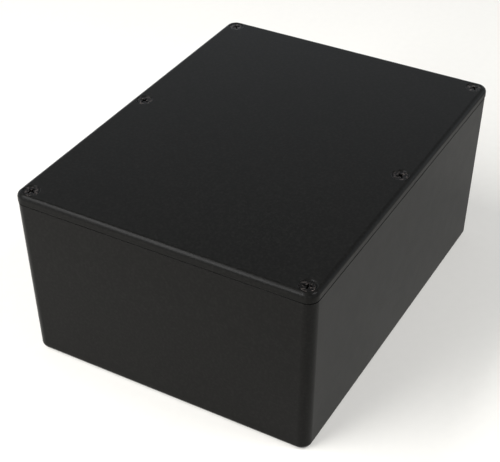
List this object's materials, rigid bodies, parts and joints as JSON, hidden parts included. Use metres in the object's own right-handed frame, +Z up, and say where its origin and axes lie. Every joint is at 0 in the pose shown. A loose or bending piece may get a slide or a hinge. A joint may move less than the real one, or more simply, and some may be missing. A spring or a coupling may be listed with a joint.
{
  "type": "die-cast aluminium enclosure",
  "caption": "Rectangular die-cast aluminium box in satin black paint, closed by a flush flat lid held with countersunk screws.",
  "frame": {"origin": "centre of the underside of the box", "axes": "+X along the length, +Y along the width, +Z up through the lid"},
  "size_m": [0.165, 0.127, 0.0762],
  "materials": {
    "black_paint": "satin black paint over cast aluminium, finely mottled",
    "black_steel": "blackened steel, dull"
  },
  "bodies": {
    "root": {"base": "black_paint", "lid": "black_paint", "cover_screws": "black_steel"}
  },
  "joints": []
}
